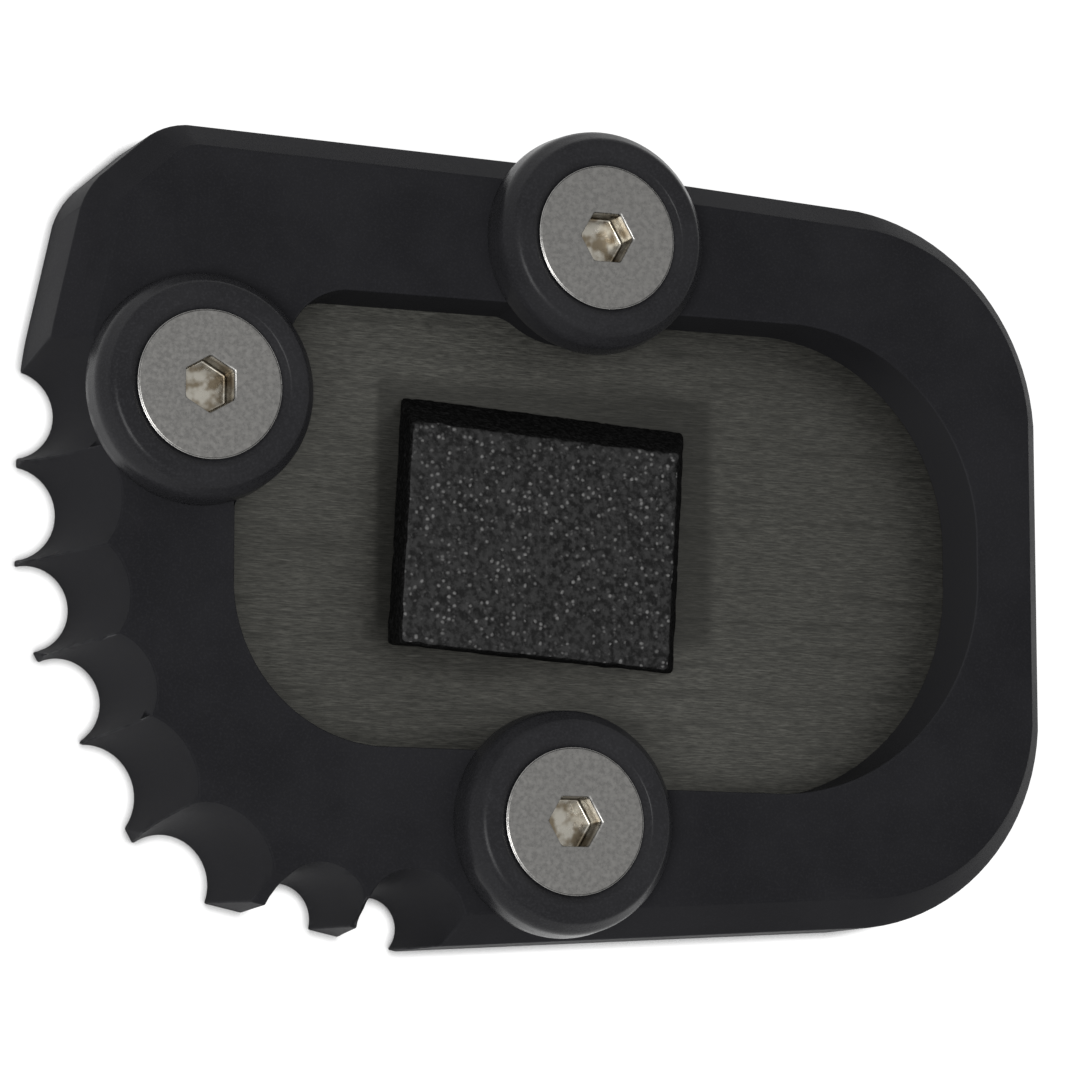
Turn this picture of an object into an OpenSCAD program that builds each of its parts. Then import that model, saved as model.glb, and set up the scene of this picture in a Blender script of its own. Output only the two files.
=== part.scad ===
// Side stand foot enlarger: a clawed frame plate around a pocket for the stand's foot,
// a floor plate let in from below, a foam pad and three clamp discs with countersunk screws.
// Origin under the middle of the part, sole on z = 0, +Z up. All lengths in mm.

/* [Frame plate] */
// Length from the left edge to the right edge
plate_l = 89; // [84:1:110]
// Thickness of the frame plate
plate_t = 11.5; // [9:0.5:16]
// Middle line to the back edge, at the left end
back_left = 32.7; // [31:0.1:38]
// Middle line to the back edge, at its slight bend
back_bend = 31.6; // [30:0.1:37]
// Left edge to the bend in the back edge
bend_in = 45.5; // [42:0.5:50]
// Middle line to the back edge, at the right end
back_right = 29.2; // [27:0.1:34]
// Middle line to the front edge, at the left end
front_left = 35.7; // [34:0.1:42]
// Middle line to the front edge, at the right end
front_right = 30.4; // [28:0.1:35]
// Width of the bevel round the top face
bevel_w = 2.4; // [0.5:0.1:2.8]
// Height of the bevel round the top face
bevel_h = 3.4; // [0.5:0.1:5]

/* [Corners] */
// Radius of the right back corner
round_back = 19; // [10:0.5:24]
// Radius of the right front corner
round_front = 18.5; // [10:0.5:22]
// Left edge to the crown corner, along the back edge
crown_in = 9.8; // [9:0.1:14]
// Radius of the crown corner
crown_r = 6; // [4:0.5:7]
// Left edge to the shoulder corner
shoulder_in = 3.1; // [2.5:0.1:5]
// Back edge down to the shoulder corner
shoulder_drop = 6.2; // [5:0.1:8]
// Radius of the shoulder corner
shoulder_r = 7; // [4:0.5:8]
// Back edge down to the bend in the left edge
flank_drop = 20.4; // [19:0.1:24]
// Radius of the bend in the left edge
flank_r = 40; // [20:5:50]
// Front edge up to the upper claw corner, on the left edge
claw_rise = 28.3; // [26:0.1:31]
// Radius of the upper claw corner
claw_r = 12; // [8:1:18]
// Left edge to the lower claw corner
heel_in = 12.4; // [11:0.1:15]
// Front edge up to the lower claw corner
heel_rise = 6.4; // [5:0.1:8]
// Radius of the lower claw corner
heel_r = 8; // [6:1:12]
// Left edge to the toe, where the claws end on the front edge
toe_in = 33; // [31:0.5:36]
// Radius of the toe
toe_r = 3; // [3:0.5:5]

/* [Claws] */
// Each scallop: in from the left edge, up from the front edge, radius at the sole, radius at the top
scallops = [
    [-0.6, 44.7, 3.6, 5.9],
    [-0.5, 36.6, 3.8, 6],
    [1, 28.9, 3.5, 5.3],
    [3.7, 21.4, 3.6, 4.9],
    [6.1, 13.9, 4.2, 6],
    [12.6, 7, 4, 5.9],
    [22.5, 4.4, 2.9, 4],
    [30.4, 3.8, 2.5, 4.3]
];

/* [Pocket] */
// Rim to the right of the pocket
rim_right = 7.5; // [6:0.1:12]
// Rim behind the pocket
rim_back = 10.1; // [8:0.1:13]
// Rim in front of the pocket, right of the front screw
rim_front = 9.8; // [8:0.1:12]
// Rim in front of the pocket, left of the front screw
rim_front_left = 17.8; // [17:0.1:20]
// Rim to the left of the pocket, in front of the left screw
rim_left = 14.9; // [14:0.1:17]
// Rim to the left of the pocket, beside and behind the left screw
rim_left_back = 19.2; // [18.8:0.1:21]
// Radius of the pocket's right back corner
pocket_round_back = 17.5; // [8:0.5:19]
// Radius of the pocket's right front corner
pocket_round_front = 19; // [8:0.5:20]
// Radius of the pocket's left front corner
pocket_round_left = 13; // [6:0.5:15]
// Radius of the pocket's left back corner
pocket_round_small = 5.5; // [3:0.5:7]
// Radius of the boss round each screw
boss_r = 6.5; // [5.5:0.1:8]
// Radius that blends a boss into the pocket wall
blend_r = 2.5; // [1:0.5:4]

/* [Floor plate] */
// Thickness of the floor plate
floor_t = 5; // [3:0.5:7]
// Width of the seat that the floor plate presses on, round the pocket
seat_w = 4; // [2.5:0.5:5]
// Radius of the floor plate round each screw
ear_r = 5; // [4.5:0.1:5.5]
// Gap round the floor plate in its rebate
rebate_gap = 0.1; // [0.05:0.05:0.3]

/* [Screws] */
// Left edge to the axis of the left screw
left_screw_in = 11.6; // [11.3:0.1:12.4]
// Axis of the left screw behind the middle line
left_screw_y = 10; // [9:0.5:11]
// Left edge to the axis of the back screw
back_screw_x = 45.8; // [40:0.2:50]
// Back edge to the axis of the back screw
back_screw_in = 7.1; // [6.8:0.1:8]
// Left edge to the axis of the front screw
front_screw_x = 42.9; // [40:0.1:46]
// Front edge to the axis of the front screw
front_screw_in = 9.4; // [9:0.1:11]
// Screw thread diameter
screw_d = 6; // [5:0.5:6.5]
// Screw length, over the countersunk head
screw_l = 14; // [12:0.5:15]
// Screw head diameter
head_d = 12; // [10:0.5:12.5]
// Rim of the screw head above its cone
head_rim = 0.3; // [0.1:0.1:0.6]
// Width of the hexagon socket across its flats
socket_af = 4; // [3:0.5:5]
// Depth of the hexagon socket
socket_deep = 2.4; // [1.5:0.1:2.8]
// Turn of the left screw, seen from above
left_screw_turn = 30; // [0:5:55]
// Gap between a screw and its tapped hole
thread_gap = 0.05; // [0.02:0.01:0.1]
// Gap between a screw and the holes it passes through
hole_gap = 0.3; // [0.1:0.05:0.5]

/* [Clamp discs] */
// Diameter of a clamp disc at its foot
disc_d = 18.6; // [16:0.2:19]
// Height of a clamp disc
disc_h = 3.8; // [3.8:0.1:6]
// How far the wall of a clamp disc leans in
disc_lean = 0.2; // [0:0.1:0.5]
// Width of the bevel on a clamp disc
disc_bevel_w = 1; // [0.3:0.1:1.4]
// Height of the bevel on a clamp disc
disc_bevel_h = 1.5; // [0.3:0.1:2.5]
// Depth of the screw head below the top of its disc
head_sunk = 0.3; // [0.1:0.1:0.6]
// Gap between a screw head and its countersink
sink_gap = 0.05; // [0.02:0.01:0.1]

/* [Foam pad] */
// Length of the foam pad at its foot
pad_l = 26; // [20:0.5:30]
// Width of the foam pad at its foot
pad_w = 21; // [16:0.5:24]
// Height of the foam pad
pad_h = 5; // [4:0.5:6]
// Middle of the foam pad right of the middle
pad_x = -0.8; // [-3:0.1:3]
// Middle of the foam pad behind the middle line
pad_y = 0.8; // [-1:0.1:2]
// Turn of the foam pad seen from above
pad_turn = -3.2; // [-8:0.1:8]
// How far the back side leans in towards the top
pad_lean_back = 3; // [0:0.1:4]
// How far the right side leans in towards the top
pad_lean_right = 2.6; // [0:0.1:4]
// How far the left side leans out towards the top
pad_lean_left = 0.7; // [0:0.1:2]
// How far the front side leans out towards the top
pad_lean_front = 0.5; // [0:0.1:2]

/* [Hidden] */
$fn = 96;
// Overrun that keeps a cut clear of the face it passes through
over = 1;
// Share of the bevel by which its cutter runs past both of its edges
bevel_over = 0.1;
// Arcs stand this far out of the lines that they round, so that each crosses its lines at a clean angle
ease = 0.02;
left_x = -plate_l / 2;
right_x = plate_l / 2;

bend_x = left_x + bend_in;
// Height of the back edge above the middle line at a given x
function back_y(x) =
    x < bend_x ? back_left + (back_bend - back_left) * (x - left_x) / bend_in
    : back_bend + (back_right - back_bend) * (x - bend_x) / (plate_l - bend_in);
// Height of the front edge, below the middle line, at a given x
function front_y(x) = -front_left + (front_left - front_right) * (x - left_x) / plate_l;

upper_claw = [left_x, claw_rise - front_left];
lower_claw = [left_x + heel_in, heel_rise - front_left];
toe = [left_x + toe_in, front_y(left_x + toe_in)];
// Corners of the plate, anticlockwise, each with its radius
plate_corners = [
    [upper_claw, claw_r],
    [lower_claw, heel_r],
    [toe, toe_r],
    [[right_x, front_y(right_x)], round_front],
    [[right_x, back_y(right_x)], round_back],
    [[bend_x, back_y(bend_x)], 0],
    [[left_x + crown_in, back_y(left_x + crown_in)], crown_r],
    [[left_x + shoulder_in, back_left - shoulder_drop], shoulder_r],
    [[left_x, back_left - flank_drop], flank_r]
];

left_axis = [left_x + left_screw_in, left_screw_y];
back_x = left_x + back_screw_x;
back_axis = [back_x, back_y(back_x) - back_screw_in];
front_x = left_x + front_screw_x;
front_axis = [front_x, front_y(front_x) + front_screw_in];
axes = [left_axis, back_axis, front_axis];

pocket_left = left_x + rim_left;
pocket_left_back = left_x + rim_left_back;
pocket_right = right_x - rim_right;
pocket_back = back_right - rim_back;
pocket_front = rim_front - front_right;
pocket_front_left = rim_front_left - front_left;
// Corners of the pocket, anticlockwise; its two steps lie under a clamp disc
pocket_corners = [
    [[pocket_left, pocket_front_left], pocket_round_left],
    [[front_x, pocket_front_left], 0],
    [[front_x, pocket_front], 0],
    [[pocket_right, pocket_front], pocket_round_front],
    [[pocket_right, pocket_back], pocket_round_back],
    [[pocket_left_back, pocket_back], pocket_round_small],
    [[pocket_left_back, left_axis[1] - boss_r / 2], blend_r / 2],
    [[pocket_left, left_axis[1] - boss_r], blend_r / 2]
];

// Direction of a line between two points, in degrees
function heading(a, b) = atan2(b[1] - a[1], b[0] - a[0]);
// Point at a distance from another one in a given direction
function step(p, angle, far) = p + far * [cos(angle), sin(angle)];
// Turn at corner i of a list, brought between -180 and 180 degrees
function turn(c, i) =
    let(n = len(c), t = heading(c[i][0], c[(i + 1) % n][0]) - heading(c[(i + n - 1) % n][0], c[i][0]))
    t > 180 ? t - 360 : t < -180 ? t + 360 : t;
// Middle of the arc that rounds corner i
function arc_middle(c, i, r) =
    let(n = len(c), into = heading(c[(i + n - 1) % n][0], c[i][0]), t = turn(c, i), side = t > 0 ? 90 : -90)
    step(step(c[i][0], into, -r * tan(abs(t) / 2)), into + side, r);

// Outline with a round at every corner that has a radius, grown outwards by a distance
module rounded(corners, grow = 0) {
    n = len(corners);
    // Sharp corners of the grown outline
    sharp = [for (i = [0:n - 1])
        let(into = heading(corners[(i + n - 1) % n][0], corners[i][0]), t = turn(corners, i))
        step(step(corners[i][0], into - 90, grow), into, grow * tan(t / 2))];
    difference() {
        union() {
            polygon(sharp);
            for (i = [0:n - 1]) if (turn(corners, i) < 0 && corners[i][1] > grow)
                corner_piece(corners, sharp, i, corners[i][1] - grow);
        }
        for (i = [0:n - 1]) if (turn(corners, i) > 0 && corners[i][1] > 0)
            corner_piece(corners, sharp, i, corners[i][1] + grow);
    }
}

// Sliver between a sharp corner and the arc that rounds it
module corner_piece(corners, sharp, i, r) {
    n = len(corners);
    into = heading(corners[(i + n - 1) % n][0], corners[i][0]);
    side = turn(corners, i) > 0 ? 90 : -90;
    reach = r * tan(abs(turn(corners, i)) / 2);
    middle = step(step(sharp[i], into, -reach), into + side, r);
    first = step(middle, into - side, r);
    last = step(middle, into + turn(corners, i) - side, r);
    // The cut runs past a convex corner; the fill of a concave one is sunk into the outline
    outward = (sharp[i] - middle) / norm(sharp[i] - middle);
    difference() {
        polygon([middle, first, sharp[i] + outward * (side > 0 ? over : 0), last]);
        translate(middle) circle(r + ease);
    }
}

// Section of the bevel cutter, at a distance from the axis it turns about
module bevel_section(at) {
    polygon([
        [at - bevel_w * (1 + bevel_over), plate_t + bevel_h * bevel_over],
        [at + bevel_w * bevel_over, plate_t - bevel_h * (1 + bevel_over)],
        [at + bevel_w * bevel_over, plate_t + bevel_h * bevel_over]
    ]);
}

// Bevel round the top face, along the straight edges and round the corners
module bevel_cut() {
    n = len(plate_corners);
    for (i = [0:n - 1]) {
        here = plate_corners[i][0];
        next = plate_corners[(i + 1) % n][0];
        into = heading(plate_corners[(i + n - 1) % n][0], here);
        translate((here + next) / 2)
            rotate(heading(here, next) - 90)
                rotate([90, 0, 0])
                    linear_extrude(norm(next - here) + 2 * over, center = true)
                        bevel_section(0);
        if (plate_corners[i][1] > 0)
            translate(arc_middle(plate_corners, i, plate_corners[i][1]))
                rotate(into - 90)
                    rotate_extrude(angle = turn(plate_corners, i))
                        bevel_section(plate_corners[i][1] + 2 * ease);
    }
}

// Scallops between the claws, wider at the top face than at the sole
module scallop_cut() {
    for (s = scallops) {
        widen = (s[3] - s[2]) / plate_t;
        translate([left_x + s[0], s[1] - front_left, -over])
            cylinder(h = plate_t + 2 * over, r1 = s[2] - widen * over, r2 = s[3] + widen * over);
    }
}

// Blend between a boss and the pocket wall that it stands on; side is 1 to the right of the boss, -1 to
// its left, and into is 1 where the pocket lies behind the wall, -1 where it lies in front of it
module boss_blend(axis, wall_y, side, into) {
    rise = abs(wall_y + into * blend_r - axis[1]);
    run = sqrt(pow(boss_r + blend_r, 2) - rise * rise);
    middle = [axis[0] + side * run, wall_y + into * blend_r];
    if (abs(wall_y - axis[1]) < boss_r)
        difference() {
            polygon([axis, middle, [middle[0], wall_y - into * over], [axis[0], wall_y - into * over]]);
            translate(middle) circle(blend_r + ease);
        }
}

// Outline of the pocket, with the bosses standing into it
module pocket_outline() {
    difference() {
        rounded(pocket_corners);
        for (a = axes) translate(a) circle(boss_r);
        boss_blend(back_axis, pocket_back, -1, -1);
        boss_blend(back_axis, pocket_back, 1, -1);
        boss_blend(front_axis, pocket_front_left, -1, 1);
        boss_blend(front_axis, pocket_front, 1, 1);
    }
}

// Outline of the floor plate: the pocket, its seat and an ear at each screw
module floor_outline(gap = 0) {
    rounded(pocket_corners, seat_w + gap);
    for (a = axes) translate(a) circle(ear_r + gap);
}

module frame_plate() {
    color([0.13, 0.13, 0.14])
        difference() {
            linear_extrude(plate_t) rounded(plate_corners);
            bevel_cut();
            scallop_cut();
            translate([0, 0, floor_t - over]) linear_extrude(plate_t) pocket_outline();
            translate([0, 0, -over]) linear_extrude(floor_t + over) floor_outline(rebate_gap);
            for (a = axes) translate([each a, -over])
                cylinder(h = plate_t + 2 * over, r = screw_d / 2 + hole_gap);
        }
}

module base_plate() {
    color([0.27, 0.27, 0.25])
        difference() {
            linear_extrude(floor_t) floor_outline();
            for (a = axes) translate([each a, -over])
                cylinder(h = floor_t + 2 * over, r = screw_d / 2 + thread_gap);
        }
}

// Block of foam cut askew: its foot is square and its top is shifted by the four leans
module foam_pad() {
    low = [[-pad_l / 2, -pad_w / 2], [pad_l / 2, -pad_w / 2], [pad_l / 2, pad_w / 2], [-pad_l / 2, pad_w / 2]];
    lean = [
        [-pad_lean_left, -pad_lean_front],
        [-pad_lean_right, -pad_lean_front],
        [-pad_lean_right, -pad_lean_back],
        [-pad_lean_left, -pad_lean_back]
    ];
    points = concat([for (p = low) [each p, 0]], [for (i = [0:3]) [each (low[i] + lean[i]), pad_h]]);
    color([0.16, 0.16, 0.17])
        translate([pad_x, pad_y, floor_t])
            rotate(pad_turn)
                polyhedron(points, [[0, 1, 2, 3], [7, 6, 5, 4], [0, 4, 5, 1], [1, 5, 6, 2], [2, 6, 7, 3], [3, 7, 4, 0]]);
}

// Turned disc with a bevelled edge and a countersink
module clamp_disc(axis) {
    r = disc_d / 2;
    bore = screw_d / 2 + hole_gap;
    sink = head_d / 2 + head_sunk + head_rim + sink_gap;
    color([0.14, 0.14, 0.15])
        translate([each axis, plate_t])
            rotate_extrude()
                polygon([
                    [bore, 0],
                    [r, 0],
                    [r - disc_lean, disc_h - disc_bevel_h],
                    [r - disc_lean - disc_bevel_w, disc_h],
                    [sink, disc_h],
                    [bore, disc_h - sink + bore]
                ]);
}

// Countersunk screw with a hexagon socket
module screw(axis, angle = 0) {
    r = screw_d / 2;
    cone = head_d / 2 - r;
    tip = r * 0.15;
    socket_r = socket_af / 2 / cos(30);
    color([0.6, 0.6, 0.6])
        translate([each axis, plate_t + disc_h - head_sunk])
            difference() {
                rotate_extrude()
                    polygon([
                        [0, -screw_l],
                        [r - tip, -screw_l],
                        [r, tip - screw_l],
                        [r, -head_rim - cone],
                        [r + cone, -head_rim],
                        [r + cone, 0],
                        [0, 0]
                    ]);
                translate([0, 0, -socket_deep])
                    rotate(angle)
                        cylinder(h = socket_deep + over, r = socket_r, $fn = 6);
            }
}

module clamp_disc_left() { clamp_disc(left_axis); }
module clamp_disc_back() { clamp_disc(back_axis); }
module clamp_disc_front() { clamp_disc(front_axis); }
module screw_left() { screw(left_axis, left_screw_turn); }
module screw_back() { screw(back_axis); }
module screw_front() { screw(front_axis); }

frame_plate();
base_plate();
foam_pad();
clamp_disc_left();
clamp_disc_back();
clamp_disc_front();
screw_left();
screw_back();
screw_front();
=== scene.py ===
"""Looks of a side stand foot enlarger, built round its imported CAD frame. Lengths in metres."""

import math

import bmesh
import bpy
import numpy as np
from mathutils import Matrix, Vector, noise


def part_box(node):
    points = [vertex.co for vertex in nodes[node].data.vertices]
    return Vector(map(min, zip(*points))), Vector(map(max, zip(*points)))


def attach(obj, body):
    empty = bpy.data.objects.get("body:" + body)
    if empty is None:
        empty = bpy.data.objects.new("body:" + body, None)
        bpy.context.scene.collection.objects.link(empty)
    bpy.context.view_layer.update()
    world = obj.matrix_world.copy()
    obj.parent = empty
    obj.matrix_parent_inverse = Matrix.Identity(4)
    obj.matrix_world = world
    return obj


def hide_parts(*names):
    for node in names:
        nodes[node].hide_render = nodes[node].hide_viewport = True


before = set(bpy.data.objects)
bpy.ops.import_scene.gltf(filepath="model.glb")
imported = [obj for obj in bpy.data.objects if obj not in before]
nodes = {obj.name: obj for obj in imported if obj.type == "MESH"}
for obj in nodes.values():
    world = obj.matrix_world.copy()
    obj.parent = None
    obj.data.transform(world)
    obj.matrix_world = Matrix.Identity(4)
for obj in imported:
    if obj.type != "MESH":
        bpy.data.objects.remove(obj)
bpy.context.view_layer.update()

SCENE = bpy.context.scene
MM = 0.001
WELD = 0.004 * MM

# Heights of the CAD's levels
SCREW_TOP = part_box("screw_left")[1].z
PLATE_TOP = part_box("frame_plate")[1].z
POCKET_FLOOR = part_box("base_plate")[1].z

# Bosses and clamp discs: how far a boss sinks into its wall, the step between the top of a boss
# and the frame's, and the rounding of a disc's shoulder
SUNK = 0.3 * MM
HAIR = 0.02 * MM
SHOULDER = 0.4 * MM
# Each boss: its turn from +y, and for its left and right half its radius, the height of the wall
# over the screw's axis and the radius of the blend
BOSSES = {
    "back": (math.pi, (7.5 * MM, 5.3 * MM, 4.0 * MM), (7.5 * MM, 5.3 * MM, 4.0 * MM)),
    "front": (0.0, (7.7 * MM, 5.85 * MM, 4.0 * MM), (9.1 * MM, 3.15 * MM, 1.5 * MM)),
    "left": (-math.pi / 2, (9.1 * MM, 7.6 * MM, 1.0 * MM), (9.1 * MM, 3.3 * MM, 1.2 * MM)),
}

# Rounds that break the sharp edges, and the sharpest angle that stays as it is
FRAME_ROUND = 0.16 * MM
FLOOR_ROUND = 0.15 * MM
DISC_ROUND = 0.14 * MM
SCREW_ROUND = 0.2 * MM
SHARP_ANGLE = math.radians(24)
FLAT_ANGLE = math.radians(0.4)

# Foam pad: worn edges, size of the grid, and size and depth of the torn surface and its holes
PAD_ROUND = 0.45 * MM
PAD_CELL = 0.22 * MM
TORN_SIZE = 1.6 * MM
TORN_DEPTH = 0.07
HOLE_SIZE = 0.9 * MM
HOLE_DEPTH = 0.25
HOLE_SHARE = 0.25
PAD_INSET = 0.10

# Colours
FRAME_DARK = (0.0160, 0.0160, 0.0180, 1)
FRAME_LIGHT = (0.0212, 0.0212, 0.0236, 1)
FRAME_WORN = (0.060, 0.060, 0.066, 1)
DISC_DARK = (0.0175, 0.0175, 0.0194, 1)
DISC_LIGHT = (0.0245, 0.0245, 0.0268, 1)
DISC_WORN = (0.10, 0.10, 0.11, 1)
# Painted light: the pocket's end wall is coloured paler than its light leaves it
END_WALL_PAINTED_LIGHT = (0.034, 0.034, 0.037, 1)
MILLED_DARK = (0.052, 0.052, 0.046, 1)
MILLED_LIGHT = (0.150, 0.148, 0.132, 1)
MILLED_DULL = (0.058, 0.058, 0.053, 1)
SCRATCHED = (0.22, 0.217, 0.195, 1)
SMEARED = (0.036, 0.036, 0.032, 1)
SHADED = (0.030, 0.030, 0.027, 1)
STEEL_DARK = (0.29, 0.285, 0.275, 1)
STEEL_LIGHT = (0.37, 0.363, 0.348, 1)
# Painted highlight on the screws' edges
STEEL_EDGE_HIGHLIGHT = (0.80, 0.79, 0.77, 1)
SOCKET_DARK = (0.30, 0.235, 0.145, 1)
SOCKET_LIGHT = (0.80, 0.76, 0.66, 1)
# Painted shade on the upright walls of the screws' sockets
SOCKET_WALL_SHADE = (0.016, 0.013, 0.009, 1)
TABLE_WHITE = (0.5, 0.5, 0.5, 1)

# Sockets of the colour mix node: its factor and its two colours
MIX_FACTOR = 0
MIX_A = 6
MIX_B = 7
MIX_RESULT = 2


# Node helpers
class Shader:
    """A Principled material and short calls for its nodes."""

    def __init__(self, name, **sockets):
        self.material = bpy.data.materials.new(name)
        self.material.use_nodes = True
        self.tree = self.material.node_tree
        self.bsdf = self.tree.nodes["Principled BSDF"]
        self.place = self.add("ShaderNodeTexCoord").outputs["Object"]
        for key, value in sockets.items():
            self.bsdf.inputs[key.replace("_", " ")].default_value = value

    def add(self, kind, links=(), **settings):
        node = self.tree.nodes.new(kind)
        for key, value in settings.items():
            setattr(node, key, value)
        for key, value in dict(links).items():
            socket = node.inputs[key]
            if isinstance(value, bpy.types.NodeSocket):
                self.tree.links.new(value, socket)
            else:
                socket.default_value = value
        return node

    def scaled(self, x, y, z, turn=0.0):
        """Object coordinates in cells per metre along each axis, turned about z."""
        return self.add(
            "ShaderNodeMapping",
            {"Vector": self.place, "Scale": (x, y, z), "Rotation": (0, 0, turn)},
        ).outputs[0]

    def noise(self, scale, detail, rough, place=None):
        """Noise with so many cells per metre, or per unit of the place given."""
        links = {
            "Vector": place or self.place,
            "Scale": scale,
            "Detail": detail,
            "Roughness": rough,
        }
        return self.add("ShaderNodeTexNoise", links).outputs["Fac"]

    def ramp(self, value, low, high, out_low=0.0, out_high=1.0):
        """Smooth step of a value from one range to another."""
        links = {
            "Value": value,
            "From Min": low,
            "From Max": high,
            "To Min": out_low,
            "To Max": out_high,
        }
        node = self.add("ShaderNodeMapRange", links, interpolation_type="SMOOTHSTEP")
        return node.outputs[0]

    def math(self, operation, a, b=0.0):
        return self.add("ShaderNodeMath", {0: a, 1: b}, operation=operation).outputs[0]

    def product(self, a, b):
        return self.math("MULTIPLY", a, b)

    def mix(self, factor, a, b):
        links = {MIX_FACTOR: factor, MIX_A: a, MIX_B: b}
        node = self.tree.nodes.new("ShaderNodeMix")
        node.data_type = "RGBA"
        for key, value in links.items():
            if isinstance(value, bpy.types.NodeSocket):
                self.tree.links.new(value, node.inputs[key])
            else:
                node.inputs[key].default_value = value
        return node.outputs[MIX_RESULT]

    def blend(self, a, b, share):
        """Sum of two values, a by its share and b by the rest."""
        return self.math("ADD", self.product(a, share), self.product(b, 1 - share))

    def split(self, vector):
        """The x, y and z of a vector."""
        return self.add("ShaderNodeSeparateXYZ", {0: vector}).outputs

    def normal(self):
        """The surface's own normal, before any bump."""
        return self.add("ShaderNodeNewGeometry").outputs["Normal"]

    def edge(self, radius, low=0.02, high=0.25):
        """1 on edges: where the normal of a rounded copy leaves the surface's own."""
        bevel = self.add("ShaderNodeBevel", {"Radius": radius}, samples=4).outputs[0]
        links = {0: bevel, 1: self.normal()}
        dot = self.add("ShaderNodeVectorMath", links, operation="DOT_PRODUCT").outputs["Value"]
        return self.ramp(self.math("SUBTRACT", 1.0, dot), low, high)

    def bump(self, height, strength, distance, normal=None):
        links = {"Height": height, "Strength": strength, "Distance": distance}
        if normal is not None:
            links["Normal"] = normal
        return self.add("ShaderNodeBump", links).outputs[0]

    def link(self, **sockets):
        """Links values to the Principled node and returns the finished material."""
        for key, value in sockets.items():
            self.tree.links.new(value, self.bsdf.inputs[key.replace("_", " ")])
        return self.material


def grey(value, warm=0.0):
    return (value * (1 + warm), value, value * (1 - warm), 1.0)


# Materials
def anodised(name, colours, rough_low, rough_high, shine):
    """Blasted and anodised aluminium: fine grain, faint blotches, edges rubbed paler. The colours
    are the dark and the light one of the blotches and the worn one."""
    dark, light, worn = colours
    s = Shader(name, Metallic=0.0, IOR=1.5)
    grain = s.noise(5200, 2, 0.6)
    blotch = s.noise(90, 4, 0.6)
    edge = s.product(s.edge(0.25 * MM), s.ramp(s.noise(900, 4, 0.7), 0.35, 0.62))
    base = s.mix(s.ramp(blotch, 0.3, 0.7), dark, light)
    base = s.mix(s.product(s.ramp(grain, 0.45, 0.75), 0.12), base, worn)
    base = s.mix(s.product(edge, 0.5), base, worn)
    # The pocket's end wall, which faces -x, is painted paler: painted light that makes it as pale as
    # the top
    faces_back = s.ramp(s.split(s.normal())[0], -0.85, -0.3, 1.0, 0.0)
    far_end = s.ramp(s.split(s.place)[0], 22 * MM, 30 * MM)
    base = s.mix(s.product(faces_back, far_end), base, END_WALL_PAINTED_LIGHT)
    rough = s.ramp(s.blend(grain, blotch, 0.5), 0.35, 0.65, rough_low, rough_high)
    normal = s.bump(grain, 0.35, 0.02 * MM)
    normal = s.bump(s.noise(400, 3, 0.5), 0.06, 0.1 * MM, normal)
    shine = s.math("ADD", s.product(edge, 0.35), shine)
    return s.link(Base_Color=base, Roughness=rough, Normal=normal, Specular_IOR_Level=shine)


def pad_shade(s):
    """1 on the soft dark zone of the floor plate, right of and behind the foam pad."""
    x, y, _ = s.split(s.place)
    low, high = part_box("foam_pad")
    limits = (
        s.ramp(x, high.x + 1.5 * MM, high.x + 3.1 * MM, 1.0, 0.0),
        s.ramp(x, low.x - 0.5 * MM, low.x + 0.3 * MM),
        s.ramp(y, low.y + 1.8 * MM, low.y + 3.8 * MM),
        s.ramp(y, high.y + 0.2 * MM, high.y + 2.4 * MM, 1.0, 0.0),
    )
    shade = limits[0]
    for limit in limits[1:]:
        shade = s.product(shade, limit)
    return shade


def brushed(name):
    """Floor plate: dull anodised aluminium with short fine scratches along x."""
    s = Shader(name, Metallic=0.75, Anisotropic=0.4)
    fine = s.noise(1.0, 4, 0.75, s.scaled(800, 9000, 9000))
    wide = s.noise(1.0, 3, 0.6, s.scaled(300, 2600, 2600))
    scratch = s.ramp(s.noise(1.0, 1, 0.4, s.scaled(420, 5200, 5200, 0.03)), 0.66, 0.78)
    smear = s.ramp(s.noise(1.0, 4, 0.6, s.scaled(70, 800, 800)), 0.50, 0.72)
    cloud = s.noise(110, 4, 0.6)
    base = s.mix(s.ramp(fine, 0.3, 0.7), MILLED_DARK, MILLED_LIGHT)
    base = s.mix(s.product(s.ramp(wide, 0.4, 0.68), 0.5), base, MILLED_DULL)
    base = s.mix(s.product(scratch, 0.4), base, SCRATCHED)
    base = s.mix(s.product(smear, 0.45), base, SMEARED)
    base = s.mix(s.product(pad_shade(s), 0.6), base, SHADED)
    rough = s.ramp(s.blend(fine, cloud, 0.6), 0.3, 0.7, 0.38, 0.56)
    normal = s.bump(s.blend(fine, wide, 0.6), 0.4, 0.02 * MM)
    return s.link(Base_Color=base, Roughness=rough, Normal=normal)


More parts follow.
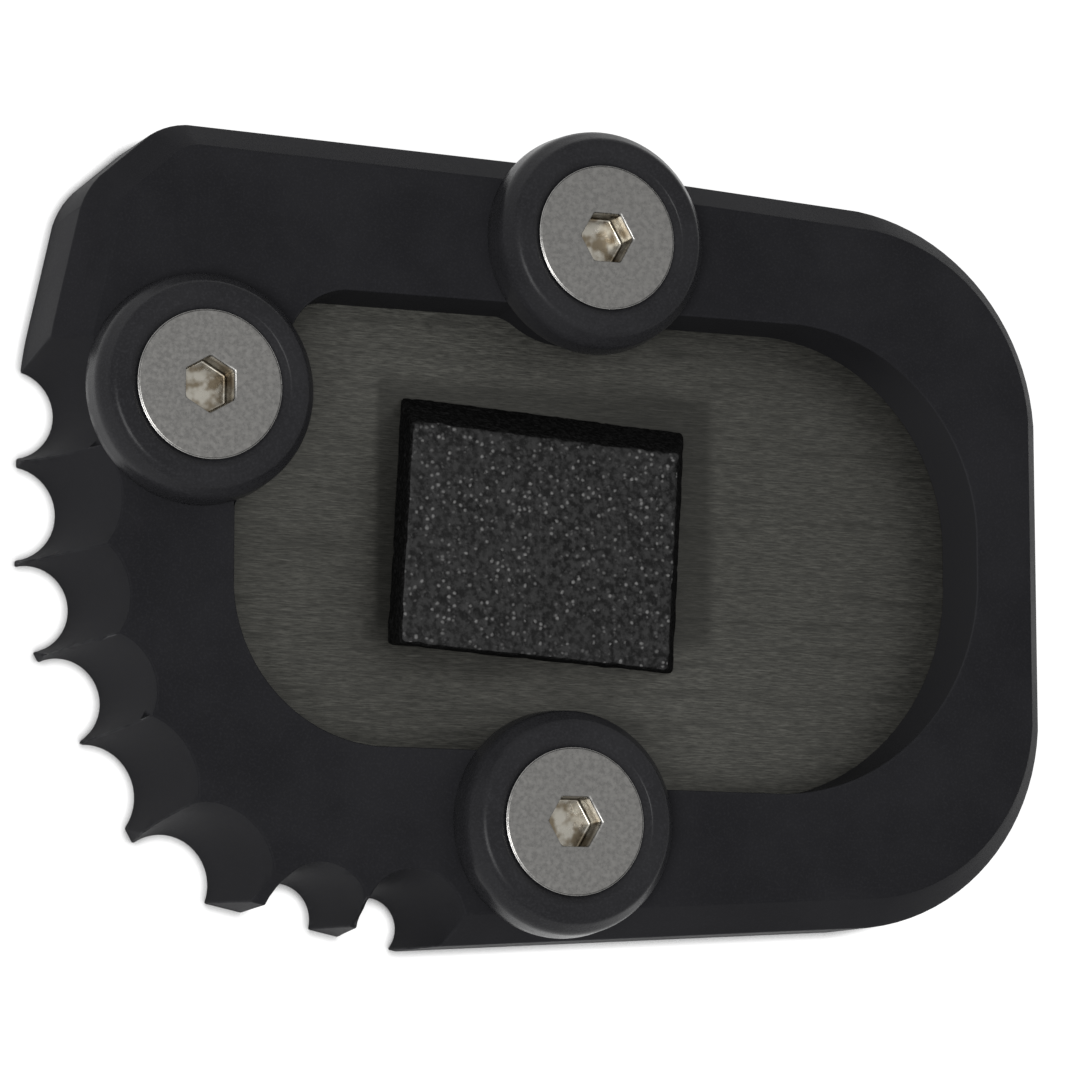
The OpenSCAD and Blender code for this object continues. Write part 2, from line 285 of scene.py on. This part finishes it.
def foam(name):
    """Rubbery foam: a pebbled top with pale specks painted in as highlights, and black grainy cut
    sides, partly their own dark tone and partly painted shade.
    """
    s = Shader(name, IOR=1.5)
    wobble = s.add("ShaderNodeTexNoise", {"Vector": s.place, "Scale": 1400.0}).outputs["Color"]
    reach = (0.25 * MM, 0.25 * MM, 0.25 * MM)
    warped = s.add("ShaderNodeVectorMath", {0: wobble, 1: reach}, operation="MULTIPLY").outputs[0]
    place = s.add("ShaderNodeVectorMath", {0: s.place, 1: warped}, operation="ADD").outputs[0]
    pebble = s.add("ShaderNodeTexVoronoi", {"Vector": place, "Scale": 2100.0})
    near = pebble.outputs["Distance"]
    chance = s.add("ShaderNodeSeparateColor", {"Color": pebble.outputs["Color"]}).outputs[0]
    # Painted highlight: pale specks on some pebbles stand for glints
    painted_glint = s.product(s.ramp(near, 0.12, 0.46, 1.0, 0.0), s.ramp(chance, 0.45, 1.0))
    cloud = s.noise(150, 3, 0.6)
    grain = s.noise(2600, 3, 0.7)
    pit = s.ramp(s.noise(1700, 4, 0.62), 0.38, 0.62)
    top = s.mix(pit, grey(0.004), grey(0.030))
    top = s.mix(s.product(s.ramp(cloud, 0.35, 0.7), 0.25), top, grey(0.034))
    top = s.mix(s.product(painted_glint, 0.9), top, grey(0.20, 0.01))
    # The cut sides, picked out by their normal: dark in the foam's own tone, and darkened further as
    # painted shade
    cut = s.mix(s.ramp(grain, 0.4, 0.65), grey(0.004), grey(0.014))
    side = s.ramp(s.split(s.normal())[2], 0.72, 0.90, 1.0, 0.0)
    base = s.mix(side, top, cut)
    rough = s.ramp(side, 0.0, 1.0, 0.55, 0.95)
    shine = s.ramp(side, 0.0, 1.0, 0.22, 0.04)
    swell = s.product(s.ramp(near, 0.0, 0.6, 1.0, 0.0), 0.8)
    normal = s.bump(s.math("ADD", swell, s.product(grain, 0.4)), 0.7, 0.16 * MM)
    return s.link(Base_Color=base, Roughness=rough, Normal=normal, Specular_IOR_Level=shine)


def steel(name):
    """Screws: turned stainless steel, dulled, with faint stains, edges lightened by a painted
    highlight, and a tarnished hexagon socket with walls darkened by painted shade."""
    s = Shader(name, Metallic=1.0)
    turned = s.noise(2400, 3, 0.6)
    stain = s.noise(2200, 4, 0.7)
    tarnish = s.ramp(s.noise(800, 2, 0.5), 0.38, 0.60)
    base = s.mix(s.ramp(stain, 0.35, 0.65), STEEL_DARK, STEEL_LIGHT)
    height = s.split(s.place)[2]
    socket = s.ramp(height, SCREW_TOP - 1.0 * MM, SCREW_TOP - 0.4 * MM, 0.8, 0.0)
    base = s.mix(socket, base, s.mix(tarnish, SOCKET_DARK, SOCKET_LIGHT))
    # Painted highlight: the edges are lightened towards bright steel
    base = s.mix(s.product(s.edge(0.2 * MM), 0.6), base, STEEL_EDGE_HIGHLIGHT)
    # Painted shade: the socket's upright walls are coloured dark
    upright = s.ramp(s.split(s.normal())[2], 0.3, 0.7, 1.0, 0.0)
    base = s.mix(s.product(upright, socket), base, SOCKET_WALL_SHADE)
    rough = s.ramp(stain, 0.3, 0.7, 0.24, 0.40)
    normal = s.bump(turned, 0.3, 0.03 * MM)
    return s.link(Base_Color=base, Roughness=rough, Normal=normal)


# Mesh helpers
def new_piece(name, bm, material, stands_for):
    """Object of a mesh, with what the frame wants to know of it."""
    mesh = bpy.data.meshes.new(name)
    bm.to_mesh(mesh)
    bm.free()
    piece = bpy.data.objects.new(name, mesh)
    SCENE.collection.objects.link(piece)
    mesh.materials.append(material)
    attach(piece, "root")
    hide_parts(stands_for)
    return piece


def settle(piece):
    """Puts the result of the piece's modifiers into its mesh."""
    graph = bpy.context.evaluated_depsgraph_get()
    graph.update()
    mesh = bpy.data.meshes.new_from_object(piece.evaluated_get(graph))
    piece.modifiers.clear()
    piece.data = mesh


def arc(middle, start, end, steps=12):
    """Points round a middle from one point to another, the short way, both ends included."""
    a, b = Vector(start) - Vector(middle), Vector(end) - Vector(middle)
    angle = a.angle_signed(b)
    return [Vector(middle) + Matrix.Rotation(-angle * i / steps, 2) @ a for i in range(steps + 1)]


def boss_half(side, reach, height, blend):
    """Half of a boss's outline, from the wall that it stands on round to its top: side is -1 or 1,
    reach the boss's radius, and height that of the wall over the axis."""
    run = math.sqrt((reach + blend) ** 2 - (height + blend) ** 2)
    middle = Vector((side * run, height + blend))
    foot = Vector((side * run, height))
    crown = middle * reach / (reach + blend)
    start = foot - Vector((0, SUNK))
    return [start, *arc(middle, foot, crown), *arc((0, 0), crown, (0, reach))[1:]]


def with_bosses(bm):
    """Widens the bosses under the clamp discs, whose blends show beside the discs. Each is a prism
    on the pocket's floor, sunk into the walls and a hair lower than the frame's top."""
    for key, (turn_by, left_half, right_half) in BOSSES.items():
        low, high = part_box("screw_" + key)
        axis = (low + high) / 2
        outline = boss_half(-1, *left_half)
        for point in reversed(boss_half(1, *right_half)):
            if (point - outline[-1]).length > HAIR:
                outline.append(point)
        ring = []
        for point in outline:
            place = Matrix.Rotation(turn_by, 2) @ point + axis.xy
            ring.append(bm.verts.new((place.x, place.y, POCKET_FLOOR)))
        grown = bmesh.ops.extrude_face_region(bm, geom=[bm.faces.new(ring)], use_keep_orig=True)
        lifted = [v for v in grown["geom"] if isinstance(v, bmesh.types.BMVert)]
        bmesh.ops.translate(bm, vec=(0, 0, PLATE_TOP - HAIR - POCKET_FLOOR), verts=lifted)
    bmesh.ops.recalc_face_normals(bm, faces=bm.faces)


def cad_mesh(source):
    """Mesh of a CAD node, with its double points joined."""
    bm = bmesh.new()
    bm.from_mesh(nodes[source].data)
    bmesh.ops.remove_doubles(bm, verts=bm.verts, dist=WELD)
    return bm


def merge_flat(bm):
    """Joins the triangles of each flat face into one face."""
    bmesh.ops.dissolve_degenerate(bm, edges=bm.edges, dist=WELD)
    bmesh.ops.dissolve_limit(
        bm, angle_limit=FLAT_ANGLE, verts=bm.verts, edges=bm.edges, delimit={"NORMAL"}
    )


def smooth(piece):
    for polygon in piece.data.polygons:
        polygon.use_smooth = True


def read_vectors(mesh, attribute):
    """An attribute of all vertices, such as their places, as rows of three."""
    values = np.zeros(len(mesh.vertices) * 3)
    mesh.vertices.foreach_get(attribute, values)
    return values.reshape(-1, 3)


def write_places(mesh, places, source):
    """Moves the vertices to their new places, kept inside the CAD node's box."""
    low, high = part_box(source)
    mesh.vertices.foreach_set("co", np.clip(places, low, high).ravel())
    mesh.update()


def round_shoulder(bm):
    """Rounds the outer bevel of a clamp disc: the ring edges near its rim in its upper half."""
    inner_share, ring_angle, steps = 0.8, 0.2, 4
    merge_flat(bm)
    low = Vector(map(min, *(v.co for v in bm.verts)))
    high = Vector(map(max, *(v.co for v in bm.verts)))
    middle = (low + high) / 2
    reach = (high.x - low.x) / 2

    def on_shoulder(vert):
        return (vert.co - middle).xy.length > inner_share * reach and vert.co.z > middle.z

    edges = [
        edge
        for edge in bm.edges
        if all(on_shoulder(vert) for vert in edge.verts) and edge.calc_face_angle(0) > ring_angle
    ]
    bmesh.ops.bevel(bm, geom=edges, offset=SHOULDER, segments=steps, profile=0.5, affect="EDGES")


def broken_edges(source, name, material, width, shape=None):
    """Copy of a CAD node, with its sharp edges broken by a small round."""
    bm = cad_mesh(source)
    if shape is not None:
        shape(bm)
    merge_flat(bm)
    piece = new_piece(name, bm, material, source)
    bevel = piece.modifiers.new("round", "BEVEL")
    bevel.width = width
    bevel.segments = 2
    bevel.limit_method = "ANGLE"
    bevel.angle_limit = SHARP_ANGLE
    bevel.use_clamp_overlap = False
    bevel.loop_slide = False
    smooth(piece)
    weighted = piece.modifiers.new("flat", "WEIGHTED_NORMAL")
    weighted.mode = "FACE_AREA"
    weighted.weight = 100
    settle(piece)
    write_places(piece.data, read_vectors(piece.data, "co"), source)


def make_pad(material):
    """Block of foam: the CAD block cut into a fine grid, edges worn round, faces torn rough."""
    bm = cad_mesh("foam_pad")
    bmesh.ops.dissolve_limit(bm, angle_limit=math.radians(2), verts=bm.verts, edges=bm.edges)
    bmesh.ops.bevel(
        bm, geom=list(bm.edges), offset=PAD_ROUND, segments=3, profile=0.5, affect="EDGES"
    )
    bmesh.ops.triangulate(bm, faces=bm.faces)
    piece = new_piece("pad_body", bm, material, "foam_pad")
    remesh = piece.modifiers.new("cells", "REMESH")
    remesh.mode = "VOXEL"
    remesh.voxel_size = PAD_CELL
    settle(piece)
    places = read_vectors(piece.data, "co")
    lift = np.zeros(len(places))
    for i, place in enumerate(places):
        torn = noise.fractal(Vector(place / TORN_SIZE), 0.9, 2.1, 4)
        hole = max(0.0, noise.noise(Vector(place / HOLE_SIZE)) - HOLE_SHARE)
        lift[i] = min(0.0, (-PAD_INSET + TORN_DEPTH * torn - HOLE_DEPTH * hole) * MM)
    normals = read_vectors(piece.data, "normal")
    write_places(piece.data, places + normals * lift[:, None], "foam_pad")
    smooth(piece)


# Pieces
frame_black = anodised(
    "frame_black", (FRAME_DARK, FRAME_LIGHT, FRAME_WORN), rough_low=0.42, rough_high=0.54, shine=0.016
)
disc_black = anodised(
    "disc_black", (DISC_DARK, DISC_LIGHT, DISC_WORN), rough_low=0.24, rough_high=0.34, shine=0.10
)
floor_metal = brushed("floor_brushed")
pad_foam = foam("pad_foam")
screw_steel = steel("screw_steel")

broken_edges(
    "frame_plate", "frame_body", frame_black, FRAME_ROUND, shape=with_bosses
)
broken_edges("base_plate", "floor_body", floor_metal, FLOOR_ROUND)
for side in ("left", "back", "front"):
    broken_edges(
        "clamp_disc_" + side, "disc_" + side, disc_black, DISC_ROUND,
        shape=round_shoulder,
    )
    broken_edges("screw_" + side, "bolt_" + side, screw_steel, SCREW_ROUND)
make_pad(pad_foam)

# Stage: the floor's size, its glow for rays that look at it, and the width of the painted contact
# shadow, where the glow fades
FLOOR_SIZE = 3.0
FLOOR_GLOW = 0.8
CONTACT_SHADOW = 0.8 * MM
WORLD_STRENGTH = 0.5
LAMP_PLACE = (-0.29, -0.13, 0.545)
LAMP_SIZE = 0.24
LAMP_POWER = 1.9


def white_backdrop():
    """White that glows where a ray looks at it, except on a thin painted contact shadow round what
    stands on it, where ambient occlusion fades the glow.
    """
    white = Shader("table_white", Base_Color=TABLE_WHITE, Roughness=0.9)
    faint = white.noise(30, 2, 0.5)
    white.link(Roughness=white.ramp(faint, 0.3, 0.7, 0.85, 0.95))
    path = white.add("ShaderNodeLightPath").outputs
    seen = white.math("ADD", path["Is Camera Ray"], path["Is Glossy Ray"])
    seen = white.math("ADD", seen, path["Is Transmission Ray"])
    # Painted shadow: the glow fades by ambient occlusion near what stands on the floor
    near = white.add("ShaderNodeAmbientOcclusion", {"Distance": CONTACT_SHADOW}, samples=2).outputs["AO"]
    seen = white.product(seen, white.ramp(near, 0.55, 0.9))
    glow = white.add("ShaderNodeEmission", {"Strength": white.product(seen, FLOOR_GLOW)})
    both = white.add("ShaderNodeAddShader", {0: white.bsdf.outputs[0], 1: glow.outputs[0]})
    surface = white.tree.nodes["Material Output"].inputs["Surface"]
    white.tree.links.new(both.outputs[0], surface)
    return white.material


def make_floor():
    bm = bmesh.new()
    bmesh.ops.create_grid(bm, x_segments=1, y_segments=1, size=FLOOR_SIZE / 2)
    mesh = bpy.data.meshes.new("table")
    bm.to_mesh(mesh)
    bm.free()
    table = bpy.data.objects.new("table", mesh)
    SCENE.collection.objects.link(table)
    mesh.materials.append(white_backdrop())


def make_world():
    world = bpy.data.worlds.new("studio")
    SCENE.world = world
    world.use_nodes = True
    background = world.node_tree.nodes["Background"]
    background.inputs["Color"].default_value = (1, 1, 1, 1)
    background.inputs["Strength"].default_value = WORLD_STRENGTH


def make_lamp():
    light = bpy.data.lights.new("lamp_key", "AREA")
    light.shape = "SQUARE"
    light.size = LAMP_SIZE
    light.energy = LAMP_POWER
    lamp = bpy.data.objects.new("lamp_key", light)
    lamp.location = LAMP_PLACE
    lamp.rotation_euler = (-Vector(LAMP_PLACE)).to_track_quat("-Z", "Y").to_euler()
    SCENE.collection.objects.link(lamp)


make_floor()
make_world()
make_lamp()

# Camera, fitted to the photo's circles: its place, the way back from what it looks at, and its lens
# as a focal length in the photo's pixels
CAMERA_PLACE = Vector((-0.14593, -0.05207, 0.35696))
CAMERA_BACK = Vector((-0.37741, -0.13737, 0.91580)).normalized()
FOCAL_PIXELS = 4607.0
IMAGE_PIXELS = 1074.0
SENSOR = 36.0


def make_camera():
    data = bpy.data.cameras.new("camera")
    data.sensor_width = SENSOR
    data.lens = SENSOR * FOCAL_PIXELS / IMAGE_PIXELS
    data.clip_start = 0.01
    camera = bpy.data.objects.new("camera", data)
    up = Vector((0, 1, 0))
    up = (up - CAMERA_BACK * up.dot(CAMERA_BACK)).normalized()
    right = up.cross(CAMERA_BACK)
    turn = Matrix((right, up, CAMERA_BACK)).transposed().to_4x4()
    camera.matrix_world = Matrix.Translation(CAMERA_PLACE) @ turn
    SCENE.collection.objects.link(camera)
    SCENE.camera = camera


make_camera()
SCENE.view_settings.view_transform = "Standard"
